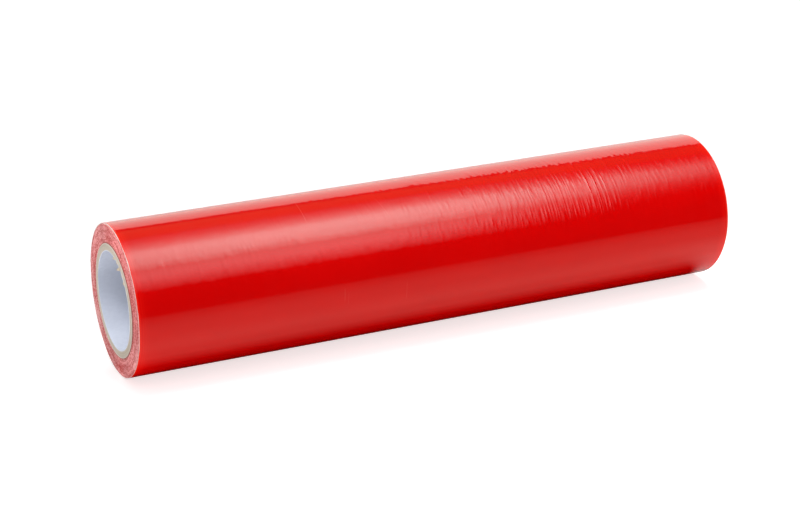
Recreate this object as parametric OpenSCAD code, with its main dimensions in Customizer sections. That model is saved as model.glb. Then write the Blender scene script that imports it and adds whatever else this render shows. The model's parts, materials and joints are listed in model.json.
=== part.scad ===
// Roll of sign vinyl on a paper core, lying on its side.
// The roll runs along X with the centre of its bore at the origin, +Z is up and -Y is the front.
// Cross-sections are drawn flat, with their x axis up and their y axis towards the back of the roll.
// The web's own cross-sections are then turned so that the outer turn starts on their x axis.

/* [Web] */
// Width of the vinyl web, along the roll
web_width = 508; // [150:1:1600]
// Length of web on the roll, in metres
web_length = 22.86; // [5:0.01:60]
// Thickness of the face film with its adhesive
film_t = 0.095; // [0.06:0.005:0.2]
// Thickness of the release liner under the film
liner_t = 0.125; // [0.06:0.005:0.25]

/* [Core] */
// Bore of the paper core
core_bore = 76.2; // [25:0.1:160]
// Wall of the paper core
core_wall = 5.6; // [3:0.1:16]
// Thickness of the white lining ply that faces the bore
lining_t = 0.4; // [0.2:0.05:0.8]
// Thickness of the smooth wrapping ply that the web is wound on
wrap_t = 0.4; // [0.2:0.05:0.8]
// Number of board plies between the lining and the wrapping ply
ply_count = 8; // [2:1:12]
// How far the core stands out of the web at each end
core_overhang = 0.6; // [0:0.1:10]

/* [Starter tape] */
// Width of the double-sided tape that holds the first turn, round the core
tape_width = 12; // [6:1:50]
// Thickness of the starter tape
tape_t = 0.15; // [0.05:0.01:0.2]
// How far the tape stops short of the web's edge at each end
tape_inset = 6; // [0:0.5:40]

/* [Outer turn and tail] */
// Where the outer turn starts, as an angle from straight up towards the back
turn_start = 20; // [15:1:60]
// Angle that the outer turn laps over its own start, up to the fold line of the tail
lap_angle = 10; // [5:1:20]
// Length of loose tail, from the fold line to the cut edge
tail_length = 52; // [20:1:80]
// Air under the loose tail
tail_gap = 0.1; // [0.05:0.05:0.5]
// Gap along the fold line, where the tail bends out of the turn
fold_gap = 0.05; // [0.02:0.01:0.2]
// Depth of the flat that the roll's own weight presses where it lies
rest_flat = 0.5; // [0.2:0.1:1]

/* [Hidden] */
$fn = 180;
mm_per_metre = 1000;
// The roll's radius is kept to this step, so that each half turn of web meets the next face to face.
radius_step = 0.01;

bore_r = core_bore / 2;
core_r = bore_r + core_wall;
core_length = web_width + 2 * core_overhang;
ply_t = (core_wall - lining_t - wrap_t) / ply_count;

// The web covers the same area seen from the end, wound up or rolled out, which sets the radius.
web_t = film_t + liner_t;
roll_r = to_step(sqrt(core_r * core_r + web_length * mm_per_metre * web_t / PI), radius_step);
turn_count = (roll_r - core_r) / web_t;

// The outer turn starts on the wound turns below it, two web thicknesses under the roll's radius.
// It climbs one web thickness a turn, because its second half turn has its centre moved by half of that.
seat_r = roll_r - 2 * web_t;
lap_r = seat_r + web_t;
climb = web_t / 2;

fold_gap_angle = arc_angle(fold_gap, roll_r);
tail_edge = lap_angle + arc_angle(tail_length, roll_r);

// The tape sits under the web's first edge, which the count of turns places.
tape_angle = arc_angle(tape_width, core_r);
tape_start = turn_start + tail_edge - 360 * turn_count;

// Reach of the flat shapes that cut a cross-section into halves and wedges.
reach = 2 * roll_r;

film_red = [0.80, 0.03, 0.02];
liner_white = [0.93, 0.91, 0.87];
edge_pink = [0.83, 0.50, 0.49];
board_tan = [0.74, 0.68, 0.60];
lining_white = [0.86, 0.88, 0.93];
wrap_tan = [0.69, 0.61, 0.52];
tape_clear = [0.88, 0.86, 0.78];

function to_step(size, step) = round(size / step) * step;
function arc_angle(length, radius) = length / radius * 180 / PI;

// Draws a cross-section out along the roll, centred on its middle.
module along_roll(length) {
    rotate([0, -90, 0])
        linear_extrude(length, center = true)
            children();
}

// Draws one of the web's cross-sections out along the roll.
module along_web(length) {
    along_roll(length)
        rotate(turn_start)
            children();
}

// Ring between two radii about the roll's axis.
module ring(inner_r, outer_r) {
    difference() {
        circle(outer_r);
        circle(inner_r);
    }
}

// One side of the line that the outer turn starts on: the side of its first half turn, or of its second.
module half_plane(side) {
    translate([-reach, side == "first" ? 0 : -reach])
        square([2 * reach, reach]);
}

// Slice of a ring between two angles less than half a turn apart.
module ring_slice(inner_r, outer_r, from, to) {
    intersection() {
        ring(inner_r, outer_r);
        polygon([
            [0, 0],
            reach * [cos(from), sin(from)],
            reach * [cos((from + to) / 2), sin((from + to) / 2)],
            reach * [cos(to), sin(to)]
        ]);
    }
}

// Disc with the resting flat across its underside.
module rested_disc(radius) {
    intersection() {
        circle(radius);
        rotate(-turn_start)
            translate([rest_flat - radius, -radius])
                square(2 * radius);
    }
}

// All that lies within a face of the outer turn, given as a height above the turn's seat.
module wound_disc(height) {
    intersection() {
        rested_disc(seat_r + height);
        half_plane("first");
    }
    intersection() {
        translate([climb, 0])
            circle(seat_r + climb + height);
        half_plane("second");
    }
}

// One layer of the outer turn, from its start under the tail to the fold line.
module turn_layer(inner_height, outer_height) {
    along_web(web_width) {
        difference() {
            wound_disc(outer_height);
            wound_disc(inner_height);
        }
        ring_slice(lap_r + inner_height, lap_r + outer_height, 0, lap_angle);
    }
}

// One layer of the loose tail, from the fold line to the cut edge.
module tail_layer(inner_height, outer_height) {
    tail_r = lap_r + tail_gap;
    along_web(web_width)
        ring_slice(tail_r + inner_height, tail_r + outer_height, lap_angle + fold_gap_angle, tail_edge);
}

// Strip of double-sided tape, bent round the core.
module tape_strip() {
    along_roll(web_width - 2 * tape_inset)
        ring_slice(core_r, core_r + tape_t, tape_start, tape_start + tape_angle);
}

// One ply of the core, at a depth measured out from the bore.
module core_tube(depth, thickness) {
    along_roll(core_length)
        ring(bore_r + depth, bore_r + depth + thickness);
}

module core_lining() {
    color(lining_white)
        core_tube(0, lining_t);
}

module core_ply(ply) {
    color(board_tan)
        core_tube(lining_t + (ply - 1) * ply_t, ply_t);
}

module core_wrap() {
    color(wrap_tan)
        core_tube(core_wall - wrap_t, wrap_t);
}

module starter_tape() {
    color(tape_clear)
        tape_strip();
}

// The wound turns below the outer one, pressed into one solid ring.
module inner_turns() {
    color(edge_pink)
        difference() {
            along_web(web_width)
                wound_disc(0);
            along_roll(core_length)
                circle(core_r);
            tape_strip();
        }
}

module outer_liner() {
    color(liner_white)
        turn_layer(0, liner_t);
}

module outer_film() {
    color(film_red)
        turn_layer(liner_t, web_t);
}

module tail_liner() {
    color(liner_white)
        tail_layer(0, liner_t);
}

module tail_film() {
    color(film_red)
        tail_layer(liner_t, web_t);
}

core_lining();
for (ply = [1:ply_count]) core_ply(ply);
core_wrap();
starter_tape();
inner_turns();
outer_liner();
outer_film();
tail_liner();
tail_film();
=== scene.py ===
"""Looks of a roll of red sign vinyl, wound with its release liner on a paper core.

The roll runs along X with the middle of its bore at the origin, +Z is up and -Y is the front.
Angles round the roll run from straight up towards the back, as in the frame. Front angles run from the front
upwards, and turn angles run on from the start of the outer turn.
"""

import json
import math
from collections import namedtuple

import bpy
import numpy as np
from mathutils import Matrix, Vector

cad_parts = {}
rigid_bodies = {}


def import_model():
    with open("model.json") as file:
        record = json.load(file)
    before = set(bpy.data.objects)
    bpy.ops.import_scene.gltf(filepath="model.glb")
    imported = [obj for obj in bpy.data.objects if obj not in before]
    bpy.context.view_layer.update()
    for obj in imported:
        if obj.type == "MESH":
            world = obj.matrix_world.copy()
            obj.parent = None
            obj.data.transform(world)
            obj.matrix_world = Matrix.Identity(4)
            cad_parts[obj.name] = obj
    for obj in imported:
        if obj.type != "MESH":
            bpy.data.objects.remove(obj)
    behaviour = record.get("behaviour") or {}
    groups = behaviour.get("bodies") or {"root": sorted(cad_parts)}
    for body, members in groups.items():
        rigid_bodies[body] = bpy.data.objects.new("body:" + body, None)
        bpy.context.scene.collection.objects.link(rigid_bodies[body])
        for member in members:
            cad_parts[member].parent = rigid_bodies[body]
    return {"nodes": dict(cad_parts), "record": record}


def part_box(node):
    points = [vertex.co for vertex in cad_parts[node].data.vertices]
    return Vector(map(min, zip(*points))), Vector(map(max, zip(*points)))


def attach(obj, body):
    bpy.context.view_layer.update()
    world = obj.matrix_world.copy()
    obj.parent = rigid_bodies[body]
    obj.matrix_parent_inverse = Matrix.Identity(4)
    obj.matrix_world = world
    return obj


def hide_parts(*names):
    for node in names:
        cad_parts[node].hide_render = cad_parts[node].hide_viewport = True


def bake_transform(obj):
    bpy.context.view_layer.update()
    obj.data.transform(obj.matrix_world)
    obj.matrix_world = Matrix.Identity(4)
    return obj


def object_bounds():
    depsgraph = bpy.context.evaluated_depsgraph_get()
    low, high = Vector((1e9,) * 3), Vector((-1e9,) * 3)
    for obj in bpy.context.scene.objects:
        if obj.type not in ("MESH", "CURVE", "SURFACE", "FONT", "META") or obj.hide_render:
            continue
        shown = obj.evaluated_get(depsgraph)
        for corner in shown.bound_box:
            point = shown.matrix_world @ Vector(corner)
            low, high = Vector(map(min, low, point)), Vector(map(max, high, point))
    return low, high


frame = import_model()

CAD_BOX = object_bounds()
MM = 0.001
FULL_TURN = 2 * math.pi
ROUNDING = 1e-9

# Sizes of the web and the core, in metres.
FILM_T = 0.095 * MM
LINER_T = 0.125 * MM
WEB_T = FILM_T + LINER_T
BORE_R = frame["record"]["mounts"][0]["dims"]["r_mm"] * MM
LINING_T = 0.4 * MM
WRAP_T = 0.4 * MM
CORE_R = 43.7 * MM
ROLL_R = 59.25 * MM
PLY_COUNT = 8
PLY_T = (CORE_R - BORE_R - LINING_T - WRAP_T) / PLY_COUNT
WEB_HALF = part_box("inner_turns")[1][0]
CORE_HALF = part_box("core_lining")[1][0]
FLOOR_Z = CAD_BOX[0][2]

# The outer turn starts under the tail and climbs half a web thickness every half turn.
SEAT_R = ROLL_R - 2 * WEB_T
CLIMB = WEB_T / 2
TURN_START = math.radians(20)
LAP = math.radians(10)
FOLD = FULL_TURN + LAP
TAIL_LENGTH = 52 * MM
TAIL_END = FOLD + TAIL_LENGTH / ROLL_R
TAIL_GAP = 0.1 * MM
# The roll's weight presses its underside flat, less and less from the outer turn inwards.
REST_FLAT = 0.5 * MM
FLAT_FADE = 4

# Wound layers stop a hair short of the next one, so that no two faces lie in one place.
WOUND_FILM_TOP = 0.97 * WEB_T
LINER_TOP = 0.95 * LINER_T
# How far each layer stops short of the web's width, at the near end and at the far end.
# The outer film has drawn back from the near edge of its liner, which leaves a pale line there.
OUTER_FILM_INSETS = (0.2 * MM, 0.02 * MM)
WOUND_FILM_INSETS = (0.12 * MM, 0.12 * MM)
LINER_INSETS = (0, 0.1 * MM)

# The photograph's camera, as a direction to the roll, a distance and a frame.
IMAGE_WIDTH = 800
VIEW_AZIMUTH = math.radians(-25.2)
VIEW_ELEVATION = math.radians(21.507)
VIEW_DISTANCE = 1.59065
VIEW_RIGHT = -15.63 * MM
VIEW_UP = -13.54 * MM
FOCAL_PIXELS = 1987.87
SENSOR = 36.0


# Shape helpers.

SHARP_EDGE = math.radians(35)


def random(seed):
    return np.random.default_rng(seed)


def smooth_step(value):
    value = np.clip(value, 0, 1)
    return value * value * (3 - 2 * value)


def web_section(turn_angle, height):
    """Y and Z of a face of the web, at turn angles that run back below zero in the turns underneath."""
    half_turns = np.floor(turn_angle / math.pi + ROUNDING)
    radius = SEAT_R + CLIMB * half_turns + height
    off_centre = CLIMB * (half_turns % 2)
    angle = TURN_START + turn_angle
    y = radius * np.sin(angle) + off_centre * math.sin(TURN_START)
    z = radius * np.cos(angle) + off_centre * math.cos(TURN_START)
    return rest(y, z, radius)


def rest(y, z, radius):
    """Presses the underside flat, deepest in the outer turns."""
    outer = SEAT_R + WEB_T
    depth = REST_FLAT * np.clip((radius - CORE_R) / (outer - CORE_R), 0, 1) ** FLAT_FADE
    return y, np.maximum(z, depth - radius)


def mesh_piece(name, points, faces, material):
    mesh = bpy.data.meshes.new(name)
    mesh.from_pydata([tuple(point) for point in points], [], faces)
    mesh.shade_smooth()
    mesh.set_sharp_from_angle(angle=SHARP_EDGE)
    mesh.materials.append(material)
    piece = bpy.data.objects.new(name, mesh)
    bpy.context.scene.collection.objects.link(piece)
    return piece


def band_faces(sections, sides, wraps):
    """Faces between neighbouring sections of so many corners, and from the last to the first if it wraps."""
    faces = []
    for section in range(sections if wraps else sections - 1):
        here = section * sides
        there = (section + 1) % sections * sides
        for side in range(sides):
            other = (side + 1) % sides
            faces.append((here + side, here + other, there + other, there + side))
    return faces


# Node helpers.

# Most of a noise lies in this range.
NOISE_RANGE = (0.3, 0.7)
WHITE = (1, 1, 1)


def plug(tree, made, inputs):
    """Gives each input of a node a value or another node's socket."""
    for name, value in inputs.items():
        socket = made.inputs[name]
        if isinstance(value, bpy.types.NodeSocket):
            tree.links.new(value, socket)
        else:
            socket.default_value = (*value, 1.0) if socket.type == "RGBA" else value


def node(tree, kind, inputs, **settings):
    made = tree.nodes.new(kind)
    for name, value in settings.items():
        setattr(made, name, value)
    plug(tree, made, inputs)
    return made


def maths(tree, operation, first, second=0.0):
    return node(tree, "ShaderNodeMath", {0: first, 1: second}, operation=operation).outputs[0]


def vector_maths(tree, operation, first, second=(0.0, 0.0, 0.0)):
    made = node(tree, "ShaderNodeVectorMath", {0: first, 1: second}, operation=operation)
    return made.outputs["Value" if operation in ("LENGTH", "DOT_PRODUCT") else "Vector"]


def split(tree, place):
    """The parts of a place, by the name of their axis."""
    return node(tree, "ShaderNodeSeparateXYZ", {0: place}).outputs


def noise(tree, place, grain, detail=2.0, roughness=0.5):
    """Noise whose grain is set in features a metre along each axis."""
    scaled = vector_maths(tree, "MULTIPLY", place, grain)
    settings = {"Vector": scaled, "Scale": 1.0, "Detail": detail, "Roughness": roughness}
    return node(tree, "ShaderNodeTexNoise", settings).outputs["Fac"]


def spread(tree, value, low, high, to=(0.0, 1.0)):
    """Maps one range of a value smoothly to another, and holds what lies outside at its ends."""
    settings = {"Value": value, "From Min": low, "From Max": high, "To Min": to[0], "To Max": to[1]}
    return node(tree, "ShaderNodeMapRange", settings, interpolation_type="SMOOTHSTEP").outputs["Result"]


def mix(tree, share, first, second, blend="MIX"):
    colours = {0: share, 6: first, 7: second}
    return node(tree, "ShaderNodeMix", colours, data_type="RGBA", blend_type=blend).outputs[2]


def bump(tree, height, depth):
    made = node(tree, "ShaderNodeBump", {"Height": height, "Distance": depth, "Strength": 1.0})
    return made.outputs["Normal"]


def new_material(name):
    material = bpy.data.materials.new(name)
    material.use_nodes = True
    tree = material.node_tree
    place = node(tree, "ShaderNodeTexCoord", {}).outputs["Object"]
    return material, tree, tree.nodes["Principled BSDF"], place


def from_middle(tree, place):
    """Distance from the middle along the roll."""
    return maths(tree, "ABSOLUTE", split(tree, place)["X"])


def across_roll(tree, place):
    """Place in the cross-section alone."""
    return vector_maths(tree, "MULTIPLY", place, (0.0, 1.0, 1.0))


def radius_of(tree, place):
    return vector_maths(tree, "LENGTH", across_roll(tree, place))


def radius_vector(tree, place):
    """Radius along X, with the cross-section's own place beside it."""
    parts = split(tree, place)
    joined = {"X": radius_of(tree, place), "Y": parts["Y"], "Z": parts["Z"]}
    return node(tree, "ShaderNodeCombineXYZ", joined).outputs[0]


Shade = namedtuple("Shade", "angle low high tint")


def shaded(tree, place, colour, shades):
    """Paints light and shade onto a colour, as tints on some sides of the cross-section.

    Each tint lies around an angle, and starts and is full at two cosines of the angle from there.
    """
    outwards = vector_maths(tree, "NORMALIZE", across_roll(tree, place))
    for shade in shades:
        angle = math.radians(shade.angle)
        towards = (0.0, math.sin(angle), math.cos(angle))
        nearness = vector_maths(tree, "DOT_PRODUCT", outwards, towards)
        colour = mix(tree, spread(tree, nearness, shade.low, shade.high), colour, shade.tint, "MULTIPLY")
    return colour


# Materials.

# Painted light lifts the film's colour along both rims, as light that comes in through its cut edges would,
# with a brighter line at each rim and fine lines in the lift.
RIM_LIGHT_REACH = 9 * MM
RIM_LIGHT_SHARE = 0.8
RIM_LINE = 1.8 * MM
RIM_LINE_SHARE = 0.4

Scratch = namedtuple("Scratch", "along lean low high wide depth")
# Fine scratches in the outer turn: place along the roll and width in millimetres, lean in millimetres a
# degree, and the front angles that they run between.
SCRATCHES = (
    Scratch(-91, 0.0, -8, 4.6, 0.28, 0.9),
    Scratch(-88, 0.02, -11, 0, 0.2, 0.5),
    Scratch(-39, 0.0, -16, 1.5, 0.24, 0.7),
    Scratch(-110, 0.0, 57, 84, 0.4, 0.9),
    Scratch(-46, -0.24, 52, 74, 0.4, 0.5),
)
# Each fades out from this share of its half length on.
SCRATCH_FADE = 0.6

# Painted light and shade on the wound edges: paler along the top and low in front, redder in front and darker
# low at the back.
EDGE_LIGHT_AND_SHADE = (
    Shade(20, 0.3, 1.0, (1.14, 1.14, 1.14)),
    Shade(-45, 0.1, 0.95, (0.97, 0.74, 0.74)),
    Shade(-150, 0.75, 1.0, (1.2, 1.28, 1.28)),
    Shade(145, 0.7, 1.0, (0.88, 0.92, 0.92)),
)
# The first turns lie in the lee of the core's end, and a painted shadow darkens them: how far out it reaches,
# and its share.
CORE_SHADOW_REACH = 1.6 * MM
CORE_SHADOW_SHARE = 0.85
# Share of specks in the dust on the wound edges, beside bands.
SPECK_SHARE = 0.6

# Painted light and shade on the lining: paler high at the back and darker below that.
LINING_LIGHT_AND_SHADE = (
    Shade(35, 0.7, 1.0, (1.19, 1.18, 1.17)),
    Shade(110, 0.7, 1.0, (0.88, 0.88, 0.89)),
)
# Inside this radius the board shows only where it is torn.
BARE_BOARD_R = BORE_R + LINING_T + 0.1 * MM


def scratch_mask(tree, place, scratch):
    """Share of a scratch at each point of the film."""
    parts = split(tree, place)
    ahead = maths(tree, "MULTIPLY", parts["Y"], -1.0)
    angle = maths(tree, "DEGREES", maths(tree, "ARCTAN2", parts["Z"], ahead))
    past_middle = maths(tree, "SUBTRACT", angle, (scratch.low + scratch.high) / 2)
    drift = maths(tree, "MULTIPLY", past_middle, scratch.lean * MM)
    off = maths(tree, "SUBTRACT", maths(tree, "SUBTRACT", parts["X"], scratch.along * MM), drift)
    across = spread(tree, maths(tree, "ABSOLUTE", off), 0.0, scratch.wide * MM, to=(scratch.depth, 0.0))
    half = (scratch.high - scratch.low) / 2
    along = spread(tree, maths(tree, "ABSOLUTE", past_middle), SCRATCH_FADE * half, half, to=(1.0, 0.0))
    return maths(tree, "MULTIPLY", across, along)


def film_material():
    """Satin red vinyl with a faint drawn grain, painted light along its rims, and fine scratches."""
    deep, bright = (0.57, 0.0003, 0.0003), (0.60, 0.0005, 0.0004)
    # Colours of the painted light along the rims.
    rim_lit, rim_line_lit = (0.68, 0.0015, 0.001), (0.78, 0.022, 0.008)
    scratched = (0.64, 0.045, 0.04)
    material, tree, shader, place = new_material("film_red")
    cloud = noise(tree, place, (14, 30, 30))
    drawn = noise(tree, place, (700, 14, 14), detail=3)
    colour = mix(tree, spread(tree, cloud, *NOISE_RANGE), deep, bright)
    off_middle = from_middle(tree, place)
    # Painted light along both rims, with a brighter line at each rim and fine lines in it.
    lift = spread(tree, off_middle, WEB_HALF - RIM_LIGHT_REACH, WEB_HALF, to=(0.0, RIM_LIGHT_SHARE))
    colour = mix(tree, lift, colour, rim_lit)
    rim = spread(tree, off_middle, WEB_HALF - RIM_LINE, WEB_HALF)
    wave = maths(tree, "SINE", maths(tree, "MULTIPLY", off_middle, FULL_TURN / RIM_LINE))
    lines = maths(tree, "MULTIPLY", spread(tree, wave, 0.3, 1.0, to=(0.0, RIM_LINE_SHARE)), lift)
    colour = mix(tree, maths(tree, "MAXIMUM", rim, lines), colour, rim_line_lit)
    for scratch in SCRATCHES:
        colour = mix(tree, scratch_mask(tree, place, scratch), colour, scratched)
    plug(tree, shader, {
        "Base Color": colour,
        "Roughness": spread(tree, drawn, *NOISE_RANGE, to=(0.07, 0.11)),
        "IOR": 1.5,
        "Normal": bump(tree, drawn, depth=0.004 * MM),
    })
    return material


def edge_dust(tree, place, speck_grain):
    """Paper dust on the wound edges, as specks and as bands along the turns."""
    specks = noise(tree, place, (300, speck_grain, speck_grain), detail=4, roughness=0.75)
    bands = noise(tree, radius_vector(tree, place), (330, 55, 55), detail=3, roughness=0.7)
    specks = maths(tree, "MULTIPLY", specks, SPECK_SHARE)
    bands = maths(tree, "MULTIPLY", bands, 1 - SPECK_SHARE)
    return spread(tree, maths(tree, "ADD", specks, bands), 0.435, 0.575)


def wound_edge(tree, place, colour, core_shadow):
    """Paints light and shade onto the wound edges by their side of the roll, and paints the shadow of the
    core's end onto the first turns.
    """
    # Painted light and shade, by the side of the roll.
    colour = shaded(tree, place, colour, EDGE_LIGHT_AND_SHADE)
    # Painted shadow of the core's end on the first turns.
    first = spread(tree, radius_of(tree, place), CORE_R, CORE_R + CORE_SHADOW_REACH, to=(CORE_SHADOW_SHARE, 0.0))
    return mix(tree, first, colour, core_shadow)


def film_edge_material():
    """Cut edges of the wound film, dulled by paper dust, with painted light and shade by side and a painted
    shadow on the first turns.
    """
    # The last colour is the painted shadow on the first turns.
    clean, dusty, core_shadow = (0.44, 0.012, 0.011), (0.81, 0.31, 0.30), (0.36, 0.04, 0.03)
    material, tree, shader, place = new_material("film_edge")
    colour = mix(tree, edge_dust(tree, place, speck_grain=950), clean, dusty)
    plug(tree, shader, {"Base Color": wound_edge(tree, place, colour, core_shadow), "Roughness": 0.5})
    return material


def liner_material():
    """Coated liner paper: white outside, tinted by the film among the turns, where its edges take painted
    light and shade by side and a painted shadow on the first turns.
    """
    dull, white = (0.74, 0.66, 0.62), (0.82, 0.75, 0.71)
    # The last colour is the painted shadow on the first turns.
    clean, dusty, core_shadow = (0.50, 0.042, 0.04), (0.88, 0.46, 0.45), (0.36, 0.07, 0.055)
    material, tree, shader, place = new_material("liner_paper")
    fibre = noise(tree, place, (600, 900, 900), detail=4, roughness=0.7)
    paper = mix(tree, spread(tree, fibre, *NOISE_RANGE), dull, white)
    tinted = mix(tree, edge_dust(tree, place, speck_grain=800), clean, dusty)
    tinted = wound_edge(tree, place, tinted, core_shadow)
    outside = spread(tree, radius_of(tree, place), SEAT_R - 2 * WEB_T, SEAT_R)
    plug(tree, shader, {
        "Base Color": mix(tree, outside, tinted, paper),
        "Roughness": spread(tree, fibre, 0.2, 0.8, to=(0.38, 0.55)),
        "Normal": bump(tree, fibre, depth=0.02 * MM),
    })
    return material


def board_material():
    """Grey-tan core board with fibres, layers and darker flecks, and a fresher colour where it is torn."""
    dull, pale = (0.46, 0.395, 0.32), (0.555, 0.49, 0.41)
    layer, flecked, fresh = (0.43, 0.365, 0.29), (0.27, 0.20, 0.15), (0.56, 0.47, 0.35)
    material, tree, shader, place = new_material("core_board")
    fibre = noise(tree, place, (700, 1100, 1100), detail=4, roughness=0.7)
    ply = noise(tree, radius_vector(tree, place), (750, 12, 12))
    fleck = noise(tree, place, (1500, 1500, 1500), detail=1)
    board = mix(tree, spread(tree, fibre, *NOISE_RANGE), dull, pale)
    board = mix(tree, spread(tree, ply, 0.42, 0.58, to=(0.0, 0.7)), board, layer)
    board = mix(tree, spread(tree, fleck, 0.66, 0.78, to=(0.0, 0.6)), board, flecked)
    torn = spread(tree, radius_of(tree, place), BARE_BOARD_R - 0.05 * MM, BARE_BOARD_R, to=(1.0, 0.0))
    plug(tree, shader, {
        "Base Color": mix(tree, torn, board, fresh),
        "Roughness": 0.85,
        "Normal": bump(tree, fibre, depth=0.06 * MM),
    })
    return material


def lining_material():
    """Smooth white lining paper, with painted light and shade by side."""
    dull, white, clouded = (0.55, 0.583, 0.674), (0.602, 0.635, 0.726), (0.53, 0.565, 0.655)
    material, tree, shader, place = new_material("lining_paper")
    fibre = noise(tree, place, (250, 500, 500), detail=4, roughness=0.65)
    cloud = noise(tree, place, (20, 40, 40))
    paper = mix(tree, spread(tree, fibre, *NOISE_RANGE), dull, white)
    paper = mix(tree, spread(tree, cloud, 0.35, 0.65, to=(0.0, 0.35)), paper, clouded)
    plug(tree, shader, {
        # Painted light and shade by the side of the bore.
        "Base Color": shaded(tree, place, paper, LINING_LIGHT_AND_SHADE),
        "Roughness": 0.6,
        "Normal": bump(tree, fibre, depth=0.02 * MM),
    })
    return material


def wrap_material():
    """Smooth tan paper, with a painted reddish shade on the outside, where the web is wound on it."""
    dull, pale, painted_shade = (0.58, 0.59, 0.53), (0.68, 0.69, 0.62), (0.36, 0.10, 0.07)
    material, tree, shader, place = new_material("wrap_paper")
    fibre = noise(tree, place, (300, 900, 900), detail=4, roughness=0.7)
    paper = mix(tree, spread(tree, fibre, *NOISE_RANGE), dull, pale)
    outside = spread(tree, radius_of(tree, place), CORE_R - 0.05 * MM, CORE_R - 0.01 * MM)
    off_middle = from_middle(tree, place)
    covered = spread(tree, off_middle, CORE_HALF - 0.4 * MM, CORE_HALF - 0.2 * MM, to=(1.0, 0.0))
    plug(tree, shader, {
        # Painted reddish shade on the outside, which fades out just short of each end.
        "Base Color": mix(tree, maths(tree, "MULTIPLY", outside, covered), paper, painted_shade),
        "Roughness": 0.7,
        "Normal": bump(tree, fibre, depth=0.03 * MM),
    })
    return material


def tape_material():
    """Cloudy double-sided tape."""
    dull, pale = (0.74, 0.71, 0.60), (0.82, 0.80, 0.72)
    material, tree, shader, place = new_material("tape_clear")
    cloud = noise(tree, place, (120, 260, 260), detail=3)
    colour = mix(tree, spread(tree, cloud, *NOISE_RANGE), dull, pale)
    plug(tree, shader, {"Base Color": colour, "Roughness": 0.3})
    return material


# Wound turns.

STRIP_STEP = FULL_TURN / 90
# The edges drift slowly, in waves of so many cycles a turn, and flutter.
WANDER = 0.05 * MM
WANDER_CYCLES = (0.021, 0.047, 0.11, 0.37, 1.31, 2.73)
FLUTTER = 0.02 * MM
# The tail's sheets go on from the turn's a little before the fold.
TURN_END = FOLD - math.radians(3)


def wander(turn_angle, seed):
    """Slow drift of a web edge, made of a few waves that don't repeat from turn to turn."""
    draw = random(seed)
    drift = np.zeros_like(turn_angle)
    for cycles in WANDER_CYCLES:
        drift += np.sin(turn_angle * cycles + draw.uniform(0, FULL_TURN)) * draw.uniform(0.4, 1.0)
    return drift * WANDER / (len(WANDER_CYCLES) / 2)


def wound_strip(name, first, last, heights, insets, material, seed):
    """One layer of the web as a closed strip, from one turn angle to another and between two heights."""
    angles = np.linspace(first, last, int((last - first) / STRIP_STEP) + 1)
    flutter = random(seed).normal(0, FLUTTER, (2, len(angles)))
    near = -WEB_HALF + insets[0] + wander(angles, seed) + flutter[0]
    far = WEB_HALF - insets[1] + wander(angles, seed + 1) + flutter[1]
    inner, outer = (web_section(angles, height) for height in heights)
    corners = ((near, *inner), (near, *outer), (far, *outer), (far, *inner))
    points = np.stack([np.stack(corner, axis=1) for corner in corners], axis=1)
    faces = band_faces(len(angles), len(corners), wraps=False)
    end = len(corners) * (len(angles) - 1)
    faces.append((3, 2, 1, 0))
    faces.append((end, end + 1, end + 2, end + 3))
    return mesh_piece(name, points.reshape(-1, 3), faces, material)


def wound_web(film_edge, liner):
    """The turns below the outer one, and the whole of the liner up to the fold."""
    first = -(SEAT_R - CORE_R) / WEB_T * FULL_TURN
    heights = (LINER_T, WOUND_FILM_TOP)
    film = wound_strip("wound_film", first, 0, heights, WOUND_FILM_INSETS, film_edge, seed=21)
    heights = (0, LINER_TOP)
    paper = wound_strip("wound_liner", first, TURN_END, heights, LINER_INSETS, liner, seed=31)
    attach(film, "roll")
    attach(paper, "roll")
    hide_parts("inner_turns")
    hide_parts("outer_liner")


# Outer turn and tail.

Stretch = namedtuple("Stretch", "start end step")
# Columns of the film's mesh along the roll, closer where it ripples and closest where the ridges are sharp.
FILM_COLUMNS = (
    Stretch(-WEB_HALF + OUTER_FILM_INSETS[0], -90 * MM, 0.7 * MM),
    Stretch(-90 * MM, 25 * MM, 0.5 * MM),
    Stretch(25 * MM, 190 * MM, 0.33 * MM),
    Stretch(190 * MM, 250 * MM, 0.5 * MM),
)
LAST_COLUMNS = 8
# Columns are rounded to a micrometre, so that two stretches share the one where they meet.
COLUMN_DIGITS = 6
# Rows of the film's mesh, as turn angles in degrees.
FILM_ROWS = (Stretch(0, 130, 4.0), Stretch(130, 270, 2.5), Stretch(270, 356, 1.25), Stretch(356, 366, 2.0))
# Before this turn angle the film is smooth, and one column in so many is enough.
CLOSE_FROM = math.radians(250)
SMOOTH_STEP = 24

Ripple = namedtuple("Ripple", "count along around wide length tall share lean peak")
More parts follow.
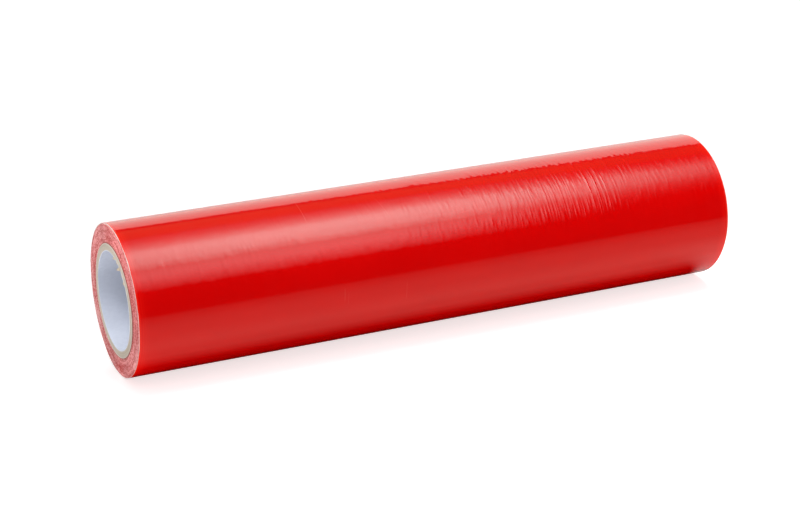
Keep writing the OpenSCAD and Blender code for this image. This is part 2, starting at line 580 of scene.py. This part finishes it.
# Ripples where the film was wound slack. Places along the roll, widths and heights are in millimetres, places
# and lengths round it in degrees of front angle. Each ripple has a share of its family's height, which falls
# off from a peak along the roll over a given distance.
RIPPLES = (
    # Long ridges across the highlight, the tallest of them, and shorter ones below.
    Ripple(62, (35, 190), (42, 54), (0.38, 0.62), (12, 24), 0.07, (0.2, 1.2), 0.005, (112, 60)),
    Ripple(5, (131, 147), (44, 48), (0.42, 0.5), (19, 23), 0.1, (0.9, 1.2), 0.003, (139, 60)),
    Ripple(44, (40, 168), (28, 37), (0.4, 0.7), (6, 11), 0.085, (0.3, 1.2), 0.006, (112, 42)),
    # Finer lines beside them, along the top of the highlight and at the far rim.
    Ripple(230, (-88, 248), (26, 70), (0.4, 0.8), (4, 11), 0.045, (0.2, 1.2), 0.012, (115, 125)),
    Ripple(240, (-88, 248), (58, 70), (0.4, 0.7), (3, 6), 0.022, (0.3, 1.2), 0.006, (90, 150)),
    Ripple(14, (232, 253), (20, 62), (0.5, 0.9), (10, 22), 0.03, (0.2, 1.2), 0.012, (250, 12)),
    # Shallow dimples over the front and the top, short dents along the top, and a few on the near half.
    Ripple(2700, (-254, 254), (22, 70), (0.45, 1.1), (2, 5), 0.05, (0, 1), 0.012, (0, 1000)),
    Ripple(420, (-254, 254), (72, 104), (0.7, 1.4), (3, 7), 0.02, (0, 1), 0.012, (0, 1000)),
    Ripple(420, (-254, 254), (72, 88), (0.7, 1.3), (2.5, 5), 0.09, (0, 1), 0.012, (60, 200)),
    Ripple(15, (-170, -118), (44, 48), (0.6, 0.8), (2.5, 3.5), 0.1, (0.3, 1.2), 0.006, (0, 1000)),
)
# A ripple is left out beyond so many times its width.
RIPPLE_REACH = 6

# The near edge of the outer film is uneven, but not at its start and at the fold.
EDGE_DRIFT = 0.06 * MM
EDGE_WAVES = (1, 3, 7, 16, 29)
EDGE_SETTLES = math.radians(20)
# It is pulled back further at one place, given as a turn angle.
PULLED_BACK = 0.22 * MM
PULLED_AT = math.radians(297)
PULLED_OVER = math.radians(7)

# Air opens under the tail after the fold, and its cut edge curls up a little.
GAP_OPENS = math.radians(5)
TAIL_CURL = 0.8 * MM
CURL_LENGTH = math.radians(9)
# The tail's rows are closer where it bends. Its motion blends in between two turn angles there.
BEND_END = FOLD + math.radians(8)
BEND_ROWS = 23
STRAIGHT_START = FOLD + math.radians(9)
STRAIGHT_ROWS = 36
TAIL_COLUMNS = 121


def ripple_heights(columns, front_angles):
    """Height of the film's ripples over a grid, by angle and column."""
    heights = np.zeros((len(front_angles), len(columns)))
    degrees = np.degrees(front_angles)[:, None]
    draw = random(seed=11)
    for family in RIPPLES:
        low, high = family.along
        step = (high - low) / family.count
        peak, falls_over = family.peak
        for index in range(family.count):
            place = low + step * (index + draw.uniform(0.1, 0.9))
            middle = draw.uniform(*family.around)
            wide = draw.uniform(*family.wide)
            length = draw.uniform(*family.length)
            lean = draw.normal(0, family.lean)
            share = draw.uniform(*family.share) * math.exp(-((place - peak) / falls_over) ** 2)
            near = np.abs(columns / MM - place) < RIPPLE_REACH * wide
            off_ridge = (columns[near][None, :] / MM - place - lean * (degrees - middle)) / wide
            along_ridge = (degrees - middle) / length
            heights[:, near] += family.tall * share * MM * np.exp(-0.5 * off_ridge ** 2 - along_ridge ** 4)
    return heights


def film_columns():
    """Places along the roll for the film's mesh."""
    stretches = [np.arange(*stretch) for stretch in FILM_COLUMNS]
    last = np.linspace(FILM_COLUMNS[-1].end, WEB_HALF - OUTER_FILM_INSETS[1], LAST_COLUMNS)
    return np.unique(np.concatenate((*stretches, last)).round(COLUMN_DIGITS))


def row_faces(below, above):
    """Faces between two rows of point numbers by column, each over one gap of the row with fewer points."""
    shared = [column for column in below if column in above]
    faces = []
    for first, last in zip(shared, shared[1:]):
        there = [below[column] for column in range(first, last + 1) if column in below]
        back = [above[column] for column in range(last, first - 1, -1) if column in above]
        faces.append((*there, *back))
    return faces


def sheet_piece(name, rows_kept, inner, outer, material):
    """A closed thin sheet round the roll, from the points of its two faces, as arrays by angle and column.

    Each row of the outer face keeps the columns given for it, and the inner face needs only its two edges.
    """
    points, rows, edges = [], [], []
    for row, kept in enumerate(rows_kept):
        rows.append({column: len(points) + place for place, column in enumerate(kept)})
        points.extend(outer[row, kept])
        edges.append((len(points), len(points) + 1))
        points.extend(inner[row, [0, -1]])
    faces = []
    for row in range(len(rows) - 1):
        below, above = rows[row], rows[row + 1]
        near, far = edges[row]
        next_near, next_far = edges[row + 1]
        first, last = min(below), max(below)
        faces.extend(row_faces(below, above))
        faces.append((near, next_near, next_far, far))
        faces.append((below[first], above[first], next_near, near))
        faces.append((above[last], below[last], far, next_far))
    faces.append((*edges[0], *reversed(rows[0].values())))
    faces.append((*reversed(edges[-1]), *rows[-1].values()))
    return mesh_piece(name, points, faces, material)


def sheet_points(angles, columns, heights):
    """Points of one face of a sheet, with the face's height at each angle and column."""
    y, z = web_section(angles[:, None] + np.zeros_like(heights), heights)
    x = columns[None, :] + np.zeros_like(heights)
    return np.stack((x, y, z), axis=-1)


def front_angle_of(turn_angles):
    """Front angles of the same places."""
    around = (TURN_START + turn_angles) % FULL_TURN
    return math.pi / 2 + np.where(around > math.pi, around - FULL_TURN, around)


def film_edge_drift(angles):
    """Unevenness of the film's drawn-back edge, which comes to rest at the fold."""
    draw = random(seed=51)
    drift = np.zeros_like(angles)
    for waves in EDGE_WAVES:
        drift += np.sin(waves * angles + draw.uniform(0, FULL_TURN)) * draw.uniform(0.3, 1.0)
    settled = smooth_step(angles / EDGE_SETTLES) * smooth_step((FOLD - angles) / EDGE_SETTLES)
    pulled = PULLED_BACK * np.exp(-((angles - PULLED_AT) / PULLED_OVER) ** 2)
    return EDGE_DRIFT * drift * settled + pulled


def film_turn(material):
    """The film of the outer turn, with its ripples, up to the fold."""
    rows = np.concatenate([np.arange(*stretch) for stretch in FILM_ROWS])
    angles = np.append(np.radians(rows), TURN_END)
    columns = film_columns()
    flat = np.zeros((len(angles), len(columns)))
    ripple = ripple_heights(columns, front_angle_of(angles))
    outer = sheet_points(angles, columns, flat + WEB_T + ripple)
    inner = sheet_points(angles, columns, flat + LINER_T)
    drift = film_edge_drift(angles)
    outer[:, 0, 0] += drift
    inner[:, 0, 0] += drift
    close = list(range(len(columns)))
    wide = sorted({*close[::SMOOTH_STEP], close[-1]})
    rows_kept = [close if angle >= CLOSE_FROM else wide for angle in angles]
    piece = sheet_piece("film_turn", rows_kept, inner, outer, material)
    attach(piece, "roll")
    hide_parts("outer_film")
    return piece


def tail_lift_of(angles):
    """Air under the tail: none at the fold, then a thin gap, and a slight curl at the cut edge."""
    gap = TAIL_GAP * smooth_step((angles - FOLD) / GAP_OPENS)
    curl = TAIL_CURL * smooth_step((angles - TAIL_END + CURL_LENGTH) / CURL_LENGTH) ** 2
    return gap + curl


def tail_sheet(name, node_name, heights, insets, material):
    """One layer of the loose tail, between two heights, which bends out of the turn at the fold."""
    bend = np.linspace(TURN_END, BEND_END, BEND_ROWS)
    straight = np.linspace(STRAIGHT_START, TAIL_END, STRAIGHT_ROWS)
    angles = np.concatenate((bend, straight))
    columns = np.linspace(-WEB_HALF + insets[0], WEB_HALF - insets[1], TAIL_COLUMNS)
    lift = tail_lift_of(angles)[:, None] + np.zeros((1, len(columns)))
    inner, outer = (sheet_points(angles, columns, lift + height) for height in heights)
    rows_kept = [list(range(len(columns)))] * len(angles)
    piece = sheet_piece(name, rows_kept, inner, outer, material)
    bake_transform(piece)
    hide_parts(node_name)


# Core.

# Steps round a tube, and round the lining with its small chips.
TUBE_STEPS = 240
LINING_STEPS = 480
# The cut ends have soft corners. The board plies keep apart and end behind the papers.
SOFTENED = 0.06 * MM
PLY_GAP = 0.015 * MM
PLY_INSET = 0.06 * MM
# A cut end is uneven by these shares of its size, in grit and in each wave round the tube.
GRIT_SHARE = 0.35
WAVE_SHARE = 0.4
CUT_WAVES = (2, 5, 9, 17)

Chip = namedtuple("Chip", "angle wide depth")
# Torn spots of the lining's near rim: angle and half width in degrees, depth in millimetres.
CHIPS = (Chip(-13, 2.6, 1.2), Chip(-31.5, 2.0, 1.5))

Flap = namedtuple("Flap", "angle wide reach")
# Torn bits of board at the bore's near rim: angle and half width in degrees, reach in millimetres.
FLAPS = (
    Flap(-31.5, 2.1, 2.7),
    Flap(-13, 3.2, 1.3),
    Flap(-50, 2.6, 1.2),
    Flap(-22, 2.4, 0.7),
    Flap(-41, 2.2, 0.6),
)
FLAP_STATIONS = 6
# Towards its tip a flap loses this share of its thickness and tapers to this share of its width.
FLAP_T = 0.25 * MM
FLAP_THINS = 0.6
FLAP_TIP = 0.05
FLAP_TAPER = 1.5
# A flap starts this deep in the core and this far off the bore, and bends towards it.
FLAP_ROOT = 0.3 * MM
FLAP_RISE = 0.12 * MM
FLAP_BEND = 0.35 * MM


def tube_piece(name, inner_r, outer_r, near, far, material, slot):
    """A closed tube whose two ends follow the given places along the roll, one for each angle round it."""
    angles = np.linspace(0, FULL_TURN, len(near), endpoint=False)
    profile = (
        (inner_r, near + SOFTENED),
        (inner_r + SOFTENED, near),
        (outer_r - SOFTENED, near),
        (outer_r, near + SOFTENED),
        (outer_r, far - SOFTENED),
        (outer_r - SOFTENED, far),
        (inner_r + SOFTENED, far),
        (inner_r, far - SOFTENED),
    )
    rings = [np.stack((x, r * np.sin(angles), r * np.cos(angles)), axis=1) for r, x in profile]
    points = np.stack(rings, axis=1)
    faces = band_faces(len(near), len(profile), wraps=True)
    return mesh_piece(name, points.reshape(-1, 3), faces, material)


def ragged(count, seed, size):
    """Small unevenness of a cut end, round the tube."""
    draw = random(seed)
    angles = np.linspace(0, FULL_TURN, count, endpoint=False)
    rough = draw.normal(0, GRIT_SHARE * size, count)
    for waves in CUT_WAVES:
        rough += size * WAVE_SHARE * np.sin(waves * angles + draw.uniform(0, FULL_TURN))
    return np.abs(rough)


def cut_ends(count, seeds, size, inset=0.0):
    """Places of a tube's near and far end along the roll, one for each angle round it."""
    near = -CORE_HALF + inset + ragged(count, seeds[0], size)
    far = CORE_HALF - inset - ragged(count, seeds[1], size)
    return near, far


def core_plies(board):
    for ply in range(PLY_COUNT):
        inner_r = BORE_R + LINING_T + ply * PLY_T
        ends = cut_ends(TUBE_STEPS, seeds=(40 + ply, 60 + ply), size=0.05 * MM, inset=PLY_INSET)
        name = f"core_board_{ply + 1}"
        piece = tube_piece(name, inner_r + PLY_GAP, inner_r + PLY_T - PLY_GAP, *ends, board, "core_board")
        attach(piece, "roll")
        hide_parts(f"core_ply_{ply + 1}")


def core_lining(material):
    """The lining of the bore, with chips out of its near rim."""
    angles = np.linspace(0, FULL_TURN, LINING_STEPS, endpoint=False)
    near, far = cut_ends(LINING_STEPS, seeds=(81, 82), size=0.02 * MM)
    for chip in CHIPS:
        off = (angles - math.radians(chip.angle) + math.pi) % FULL_TURN - math.pi
        near += chip.depth * MM * np.exp(-(np.degrees(off) / chip.wide) ** 4)
    piece = tube_piece("core_lining_paper", BORE_R, BORE_R + LINING_T, near, far, material, "lining_paper")
    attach(piece, "roll")
    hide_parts("core_lining")


def core_wrapping(material):
    ends = cut_ends(TUBE_STEPS, seeds=(91, 92), size=0.03 * MM)
    piece = tube_piece("core_wrap_paper", CORE_R - WRAP_T, CORE_R, *ends, material, "wrap_paper")
    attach(piece, "roll")
    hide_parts("core_wrap")


def flap_points(flap, draw):
    """Points of one torn bit, four at each station from its root to its tip."""
    corners = ((-1, 0), (1, 0), (1, 1), (-1, 1))
    points = []
    for station in np.linspace(0, 1, FLAP_STATIONS):
        x = -CORE_HALF + FLAP_ROOT - flap.reach * MM * station
        inner_r = BORE_R + FLAP_RISE - FLAP_BEND * station ** 2
        half = math.radians(flap.wide) * (1 + FLAP_TIP - station ** FLAP_TAPER) * draw.uniform(0.85, 1.1)
        for side, layer in corners:
            radius = inner_r + layer * FLAP_T * (1 - FLAP_THINS * station)
            angle = math.radians(flap.angle) + side * half
            points.append((x, radius * math.sin(angle), radius * math.cos(angle)))
    return points


def torn_flaps(material):
    """Torn bits of the board, each a thin tapering tongue bent towards the bore."""
    points, faces = [], []
    draw = random(seed=71)
    for flap in FLAPS:
        first = len(points)
        points.extend(flap_points(flap, draw))
        for station in range(FLAP_STATIONS - 1):
            low = first + 4 * station
            for corner in range(4):
                after = (corner + 1) % 4
                faces.append((low + corner, low + 4 + corner, low + 4 + after, low + after))
        last = len(points) - 4
        faces.append((first, first + 1, first + 2, first + 3))
        faces.append((last + 3, last + 2, last + 1, last))
    piece = mesh_piece("core_torn_flaps", points, faces, material)
    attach(piece, "roll")


# Studio panels.

# A panel's light is set by stops from 0 to 1, with a level at each.
EVEN = ((0.0, 1.0), (1.0, 1.0))
PANEL_DISTANCE = 1.1
ARC_STEPS = 17
CARD_ENDS = (-2, 3)

# The key panel has a near half and a far half that narrows: front angles of its edges, places along the roll.
KEY_STRENGTH = 6.2
KEY_COLOUR = (0.5, 1, 0.94)
KEY_ARC = (30, 114)
KEY_FAR_ARC = (43, 101)
KEY_ENDS = (-0.05, 0.55, 1.05)

# The front card stands on the table's front edge. The table's cards lie just above the floor.
FRONT_CARD_Y = -0.456
FRONT_CARD_TOP = 0.24
TABLE_Z = FLOOR_Z + 0.3 * MM
TABLE_STRENGTH = 0.64
TABLE_COLOUR = (1, 0.98, 0.82)
# Front edge of the shadow that the roll stands in.
SHADOW_FRONT = -0.08

Bend = namedtuple("Bend", "value start curve")
# Edge of the shadow past the far end: its place along the roll and its softness, which bend away in front of
# a start. The card beside it is so many times as wide as the edge is soft.
FAR_EDGE = Bend(0.2425, -0.03, -20)
FAR_SOFTNESS = Bend(0.013, -0.026, 36)
FAR_CARD_WIDTH = 10
FAR_CARD_ROWS = 24
FAR_CARD_Y = (-0.13, -0.015)
FAR_CARD_Z = FLOOR_Z + 0.5 * MM

# The backdrop stands square to the camera: X and Y of its two ends, and the height of its top at each.
BACKDROP_LEFT = (-3.0, 3.14)
BACKDROP_RIGHT = (4.0, -0.14)
BACKDROP_TOPS = (1.02, 1.42)
BACKDROP_COLOUR = (0.72, 0.98, 0.9)
CEILING = 1.47


def strip_panel(name, left, right, material):
    """A panel between two rows of points, with its own place from 0 to 1 along it and across it."""
    count = len(left)
    mesh = bpy.data.meshes.new(name)
    faces = [(row, count + row, count + row + 1, row + 1) for row in range(count - 1)]
    mesh.from_pydata([*left, *right], [], faces)
    places = mesh.uv_layers.new(name="panel")
    for loop in mesh.loops:
        side, row = divmod(loop.vertex_index, count)
        places.data[loop.index].uv = (side, row / (count - 1))
    mesh.materials.append(material)
    panel = bpy.data.objects.new(name, mesh)
    bpy.context.scene.collection.objects.link(panel)
    return panel


def card(name, left, right, material):
    """A panel for reflections alone: it isn't seen, throws no shadow and lights nothing."""
    panel = strip_panel(name, left, right, material)
    panel.visible_camera = False
    panel.visible_shadow = False
    panel.visible_diffuse = False


def straight_card(name, rows, material, ends=CARD_ENDS):
    """A card drawn along the roll, from rows of Y and Z."""
    left, right = ([(x, *row) for row in rows] for x in ends)
    card(name, left, right, material)


def arc_card(name, ends, arcs, distance, material):
    """A card bent round the roll's axis, between two front angles at each of its ends."""
    rows = []
    for x, arc in zip(ends, arcs):
        angles = np.radians(np.linspace(*arc, ARC_STEPS))
        rows.append([(x, -distance * math.cos(angle), distance * math.sin(angle)) for angle in angles])
    card(name, *rows, material)


def level_ramp(tree, value, stops):
    ramp = node(tree, "ShaderNodeValToRGB", {"Fac": value})
    ramp.color_ramp.interpolation = "EASE"
    elements = ramp.color_ramp.elements
    for index, (stop, level) in enumerate(stops):
        element = elements[index] if index < 2 else elements.new(stop)
        element.position = stop
        element.color = (level, level, level, 1)
    return ramp.outputs["Color"]


def glow_material(name, strength, across, along, colour=WHITE, see_through=False):
    """Soft light whose strength follows one row of stops across the panel and one along it."""
    material = bpy.data.materials.new(name)
    material.use_nodes = True
    tree = material.node_tree
    tree.nodes.remove(tree.nodes["Principled BSDF"])
    parts = split(tree, node(tree, "ShaderNodeTexCoord", {}).outputs["UV"])
    share = maths(tree, "MULTIPLY", level_ramp(tree, parts["X"], along), level_ramp(tree, parts["Y"], across))
    strength = maths(tree, "MULTIPLY", share, strength)
    surface = node(tree, "ShaderNodeEmission", {"Color": colour, "Strength": strength}).outputs[0]
    if see_through:
        clear = node(tree, "ShaderNodeBsdfTransparent", {}).outputs[0]
        surface = node(tree, "ShaderNodeAddShader", {0: surface, 1: clear}).outputs[0]
    plug(tree, tree.nodes["Material Output"], {"Surface": surface})
    return material


def fill_panel():
    """Broad soft light for the front of the film, which dies away towards the far end."""
    across = (
        (0.0, 0.04), (0.1, 0.18), (0.22, 0.43), (0.41, 0.75), (0.6, 1.0),
        (0.7, 0.94), (0.79, 0.82), (0.89, 0.47), (1.0, 0.0),
    )
    along = ((0.0, 0.9), (0.66, 1.0), (0.8, 0.52), (0.92, 0.06), (1.0, 0.0))
    glow = glow_material("fill_panel", 1.85, across, along, (1, 0.77, 0.77), see_through=True)
    arc = (26, 57.5)
    arc_card("fill_panel", (-0.25, 0.76), (arc, arc), PANEL_DISTANCE, glow)


def key_panel():
    """Bright light for the highlight, in two halves."""
    across = (
        (0.0, 0.0), (0.08, 0.025), (0.16, 0.075), (0.24, 0.18), (0.32, 0.34), (0.39, 0.58),
        (0.47, 0.86), (0.61, 1.0), (0.685, 0.88), (0.75, 0.55), (0.82, 0.3), (0.9, 0.13), (1.0, 0.05),
    )
    near = ((0.0, 0.75), (0.55, 1.0), (0.77, 1.0), (1.0, 0.85))
    far = ((0.0, 0.85), (0.34, 0.52), (0.65, 0.32), (1.0, 0.2))
    distance = PANEL_DISTANCE + 0.03
    glow = glow_material("key_panel", KEY_STRENGTH, across, near, KEY_COLOUR)
    arc_card("key_panel", KEY_ENDS[:2], (KEY_ARC, KEY_ARC), distance, glow)
    glow = glow_material("key_panel_far", KEY_STRENGTH, across, far, KEY_COLOUR)
    arc_card("key_panel_far", KEY_ENDS[1:], (KEY_ARC, KEY_FAR_ARC), distance, glow)


def dark_cards():
    """Black surroundings of the light panels."""
    black = glow_material("black_card", 0.0, EVEN, EVEN)
    straight_card("front_card", ((FRONT_CARD_Y, FLOOR_Z), (FRONT_CARD_Y, FRONT_CARD_TOP)), black)
    arc = (25, 98)
    arc_card("surround", CARD_ENDS, (arc, arc), PANEL_DISTANCE + 0.2, black)


def table_cards():
    """What the underside of the film reflects: a grey table top, and a painted shadow below the roll."""
    across = ((0.0, 0.2), (0.18, 0.27), (0.43, 0.42), (0.86, 0.8), (1.0, 1.0))
    glow = glow_material("table_front", TABLE_STRENGTH, across, EVEN, TABLE_COLOUR)
    straight_card("table_front", ((FRONT_CARD_Y, TABLE_Z), (SHADOW_FRONT, TABLE_Z)), glow)
    across = ((0.0, 1.0), (0.157, 0.59), (0.218, 0.25), (0.264, 0.06), (0.3, 0.0))
    glow = glow_material("table_under", TABLE_STRENGTH, across, EVEN, TABLE_COLOUR)
    straight_card("table_under", ((SHADOW_FRONT, TABLE_Z), (0.06, TABLE_Z)), glow, (-0.27, 0.6))
    glow = glow_material("table_back", 1.0, EVEN, EVEN, (1, 0.84, 0.82))
    straight_card("table_back", ((0.14, TABLE_Z), (1.6, TABLE_Z)), glow)


def far_table_card():
    """Bright table past the far end, beside a shadow whose edge softens away from the roll."""
    across = (
        (0.0, 0.0), (0.26, 0.25), (0.48, 0.5), (0.63, 0.9),
        (0.76, 1.0), (0.84, 1.0), (0.9, 0.8), (1.0, 0.7),
    )
    along = ((0.0, 0.0), (0.1, 1.0), (1.0, 1.0))
    glow = glow_material("table_far", 0.66, across, along, (1, 0.98, 0.94), see_through=True)
    left, right = [], []
    for y in np.linspace(*FAR_CARD_Y, FAR_CARD_ROWS):
        edge, softness = (at.value + at.curve * min(y - at.start, 0) ** 2 for at in (FAR_EDGE, FAR_SOFTNESS))
        left.append((edge, y, FAR_CARD_Z))
        right.append((edge + FAR_CARD_WIDTH * softness, y, FAR_CARD_Z))
    card("table_far", left, right, glow)


def backdrop():
    """White backdrop behind the roll, with a dark rail along its top and a dim ceiling in front of that."""
    graded = ((0.0, 0.92), (0.2, 1.0), (1.0, 1.0))
    floors, ceilings = (0.0, 0.0), (CEILING, CEILING)
    strips = (("backdrop", floors, BACKDROP_TOPS, 1.35), ("rail", BACKDROP_TOPS, ceilings, 0.06))
    for name, lows, highs, strength in strips:
        left = [(*BACKDROP_LEFT, lows[0]), (*BACKDROP_LEFT, highs[0])]
        right = [(*BACKDROP_RIGHT, lows[1]), (*BACKDROP_RIGHT, highs[1])]
        card(name, left, right, glow_material(name, strength, graded, EVEN, BACKDROP_COLOUR))
    along = ((0.0, 1.0), (0.46, 1.0), (0.54, 0.85), (0.61, 0.5), (1.0, 0.4))
    dim = glow_material("ceiling", 0.36, EVEN, along, (1, 0.95, 0.5))
    ends = (BACKDROP_LEFT[0], BACKDROP_RIGHT[0])
    straight_card("ceiling", ((0.15, CEILING), (5, CEILING)), dim, ends)


# Lamps.

Lamp = namedtuple("Lamp", "name place target size power")
ROOM_LAMPS = (
    Lamp("top_light", (0.25, 0.15, 1.5), (0, 0, 0), 1.0, 23.0),
    Lamp("front_left_light", (-0.9, -1.3, 0.05), (0, 0, 0), 0.9, 6.5),
    Lamp("front_right_light", (1.7, -1.2, 0.1), (0.1, 0, 0), 0.9, 17.0),
)
NEAR_END_LAMPS = (
    Lamp("end_light", (-0.75, 0.12, 1.15), (-CORE_HALF, 0, -BORE_R), 0.35, 6.6),
    Lamp("left_light", (-1.25, -0.3, 0.8), (-CORE_HALF, 0, 0), 0.7, 5.0),
)
BORE_LAMPS = (
    Lamp("bore_light_low", (-0.3, -0.35, -0.03), (-CORE_HALF, BORE_R, 0.02), 0.08, 0.2),
    Lamp("bore_light_high", (-0.55, 0.05, 0.45), (-CORE_HALF, 0, -BORE_R), 0.12, 0.68),
)
# The rims' lamps lie on the floor past each end of the web.
RIM_LAMP_SIZE = 0.1
RIM_LAMP_Y = -0.04
RIM_LAMP_Z = FLOOR_Z + MM


def soft_light(lamp):
    """Broad lamp that lights the roll without showing in the film."""
    data = bpy.data.lights.new(lamp.name, "AREA")
    data.size = lamp.size
    data.energy = lamp.power
    light = bpy.data.objects.new(lamp.name, data)
    light.location = lamp.place
    aim = Vector(lamp.target) - Vector(lamp.place)
    light.rotation_euler = aim.to_track_quat("-Z", "Y").to_euler()
    light.visible_glossy = False
    light.visible_camera = False
    bpy.context.scene.collection.objects.link(light)
    return light


def masked_lights(name, lamps, pieces):
    """Lamps masked so that they light only some pieces."""
    lit = bpy.data.collections.new(name)
    for piece in pieces:
        lit.objects.link(piece)
    for lamp in lamps:
        soft_light(lamp).light_linking.receiver_collection = lit


def rim_lamps():
    """Light that the bright table past both ends throws up on the underside of the film's rims."""
    for name, side, power in (("rim_light_near", -1, 0.035), ("rim_light_far", 1, 0.02)):
        x = side * (WEB_HALF + RIM_LAMP_SIZE / 2)
        yield Lamp(name, (x, RIM_LAMP_Y, RIM_LAMP_Z), (x, RIM_LAMP_Y, 1), RIM_LAMP_SIZE, power)


def lights(film):
    for lamp in ROOM_LAMPS:
        soft_light(lamp)
    pieces = bpy.context.scene.objects
    near_end = [piece for piece in pieces if piece.name.startswith(("core_", "wound_"))]
    masked_lights("near_end", NEAR_END_LAMPS, near_end)
    masked_lights("bore", BORE_LAMPS, [bpy.data.objects["core_lining_paper"]])
    masked_lights("rims", rim_lamps(), [film])


# Floor, surroundings and camera.

FLOOR_REACH = 6.0
# The floor's glow dips beside the roll, for its shadow. Past the ends and behind the roll it changes so many
# times faster than in front.
END_FADE = 2.0
BACK_FADE = 3.0
# Share of that glow in the film, and the floor's glow where it only lights other things.
FLOOR_MIRRORED = 0.1
FLOOR_BOUNCE = 0.2
# Level of the surroundings where they light surfaces.
WORLD_LEVEL = 0.5


def seen_directly(tree, mirror_share=1.0):
    """1 where a ray comes from the camera, and a share of that in mirrors."""
    path = node(tree, "ShaderNodeLightPath", {}).outputs
    mirrored = maths(tree, "MULTIPLY", path["Is Glossy Ray"], mirror_share)
    seen = maths(tree, "MAXIMUM", path["Is Camera Ray"], mirrored)
    return maths(tree, "MAXIMUM", seen, path["Is Transmission Ray"])


def floor_level(tree, place):
    """Glow of the floor: low beside the roll, then paler, and rising slowly with the distance."""
    parts = split(tree, place)
    past_end = maths(tree, "SUBTRACT", maths(tree, "ABSOLUTE", parts["X"]), WEB_HALF)
    past_end = maths(tree, "MULTIPLY", maths(tree, "MAXIMUM", past_end), END_FADE)
    in_front = maths(tree, "MULTIPLY", parts["Y"], -1.0)
    behind = maths(tree, "MULTIPLY", parts["Y"], BACK_FADE)
    beside = {"X": past_end, "Y": maths(tree, "MAXIMUM", in_front, behind)}
    away = vector_maths(tree, "LENGTH", node(tree, "ShaderNodeCombineXYZ", beside).outputs[0])
    rising = spread(tree, away, 0, 0.08, to=(0.64, 0.8))
    ending = spread(tree, away, 0.12, 0.32, to=(1, 0))
    near = maths(tree, "MULTIPLY", rising, ending)
    further_off = spread(tree, vector_maths(tree, "LENGTH", place), 0.45, 2.0, to=(0.3, 0.8))
    return maths(tree, "MAXIMUM", near, further_off)


def floor_material():
    """Pale floor that keeps the roll's shadow and reads white further off."""
    grey, pale = (0.62, 0.62, 0.62), (0.64, 0.64, 0.64)
    material, tree, shader, place = new_material("floor")
    glow = maths(tree, "MULTIPLY", seen_directly(tree, FLOOR_MIRRORED), floor_level(tree, place))
    lighting = node(tree, "ShaderNodeLightPath", {}).outputs["Is Diffuse Ray"]
    bounce = maths(tree, "MULTIPLY", lighting, FLOOR_BOUNCE)
    plug(tree, shader, {
        "Base Color": mix(tree, noise(tree, place, (40, 40, 40)), grey, pale),
        "Roughness": 0.9,
        "Specular IOR Level": 0.0,
        "Emission Color": WHITE,
        "Emission Strength": maths(tree, "MAXIMUM", glow, bounce),
    })
    return material


def floor():
    edges = (-FLOOR_REACH, FLOOR_REACH)
    left, right = ([(x, y, FLOOR_Z) for y in edges] for x in edges)
    strip_panel("floor", left, right, floor_material())


def world():
    """Even white surroundings, at a lower level where they light surfaces."""
    made = bpy.data.worlds.new("studio")
    made.use_nodes = True
    tree = made.node_tree
    level = spread(tree, seen_directly(tree), 0, 1, to=(WORLD_LEVEL, 1.0))
    plug(tree, tree.nodes["Background"], {"Color": WHITE, "Strength": level})
    bpy.context.scene.world = made


def camera():
    data = bpy.data.cameras.new("camera")
    data.sensor_width = SENSOR
    data.lens = FOCAL_PIXELS / IMAGE_WIDTH * SENSOR
    made = bpy.data.objects.new("camera", data)
    bpy.context.scene.collection.objects.link(made)
    flat = math.cos(VIEW_ELEVATION)
    back = np.array((math.sin(VIEW_AZIMUTH) * flat, -math.cos(VIEW_AZIMUTH) * flat, math.sin(VIEW_ELEVATION)))
    right = np.array((math.cos(VIEW_AZIMUTH), math.sin(VIEW_AZIMUTH), 0))
    up = np.cross(back, right)
    made.location = VIEW_DISTANCE * back + VIEW_RIGHT * right + VIEW_UP * up
    made.rotation_euler = (math.pi / 2 - VIEW_ELEVATION, 0, VIEW_AZIMUTH)
    bpy.context.scene.camera = made


def web():
    """The web with its tail. It gives back the outer film, which some lamps light alone."""
    film = film_material()
    liner = liner_material()
    turn = film_turn(film)
    tail_sheet("film_tail", "tail_film", (LINER_T, WEB_T), OUTER_FILM_INSETS, film)
    tail_sheet("liner_tail", "tail_liner", (0, LINER_TOP), LINER_INSETS, liner)
    wound_web(film_edge_material(), liner)
    return turn


def core():
    board = board_material()
    core_plies(board)
    torn_flaps(board)
    core_lining(lining_material())
    core_wrapping(wrap_material())


def starter_tape():
    """The tape is hidden and keeps its own node."""
    tape = frame["nodes"]["starter_tape"]
    tape.data.materials.clear()
    tape.data.materials.append(tape_material())


def studio(film):
    fill_panel()
    key_panel()
    dark_cards()
    table_cards()
    far_table_card()
    backdrop()
    lights(film)
    floor()


def main():
    turn = web()
    core()
    starter_tape()
    camera()
    world()
    studio(turn)
    bpy.context.scene.view_settings.view_transform = "Standard"


main()
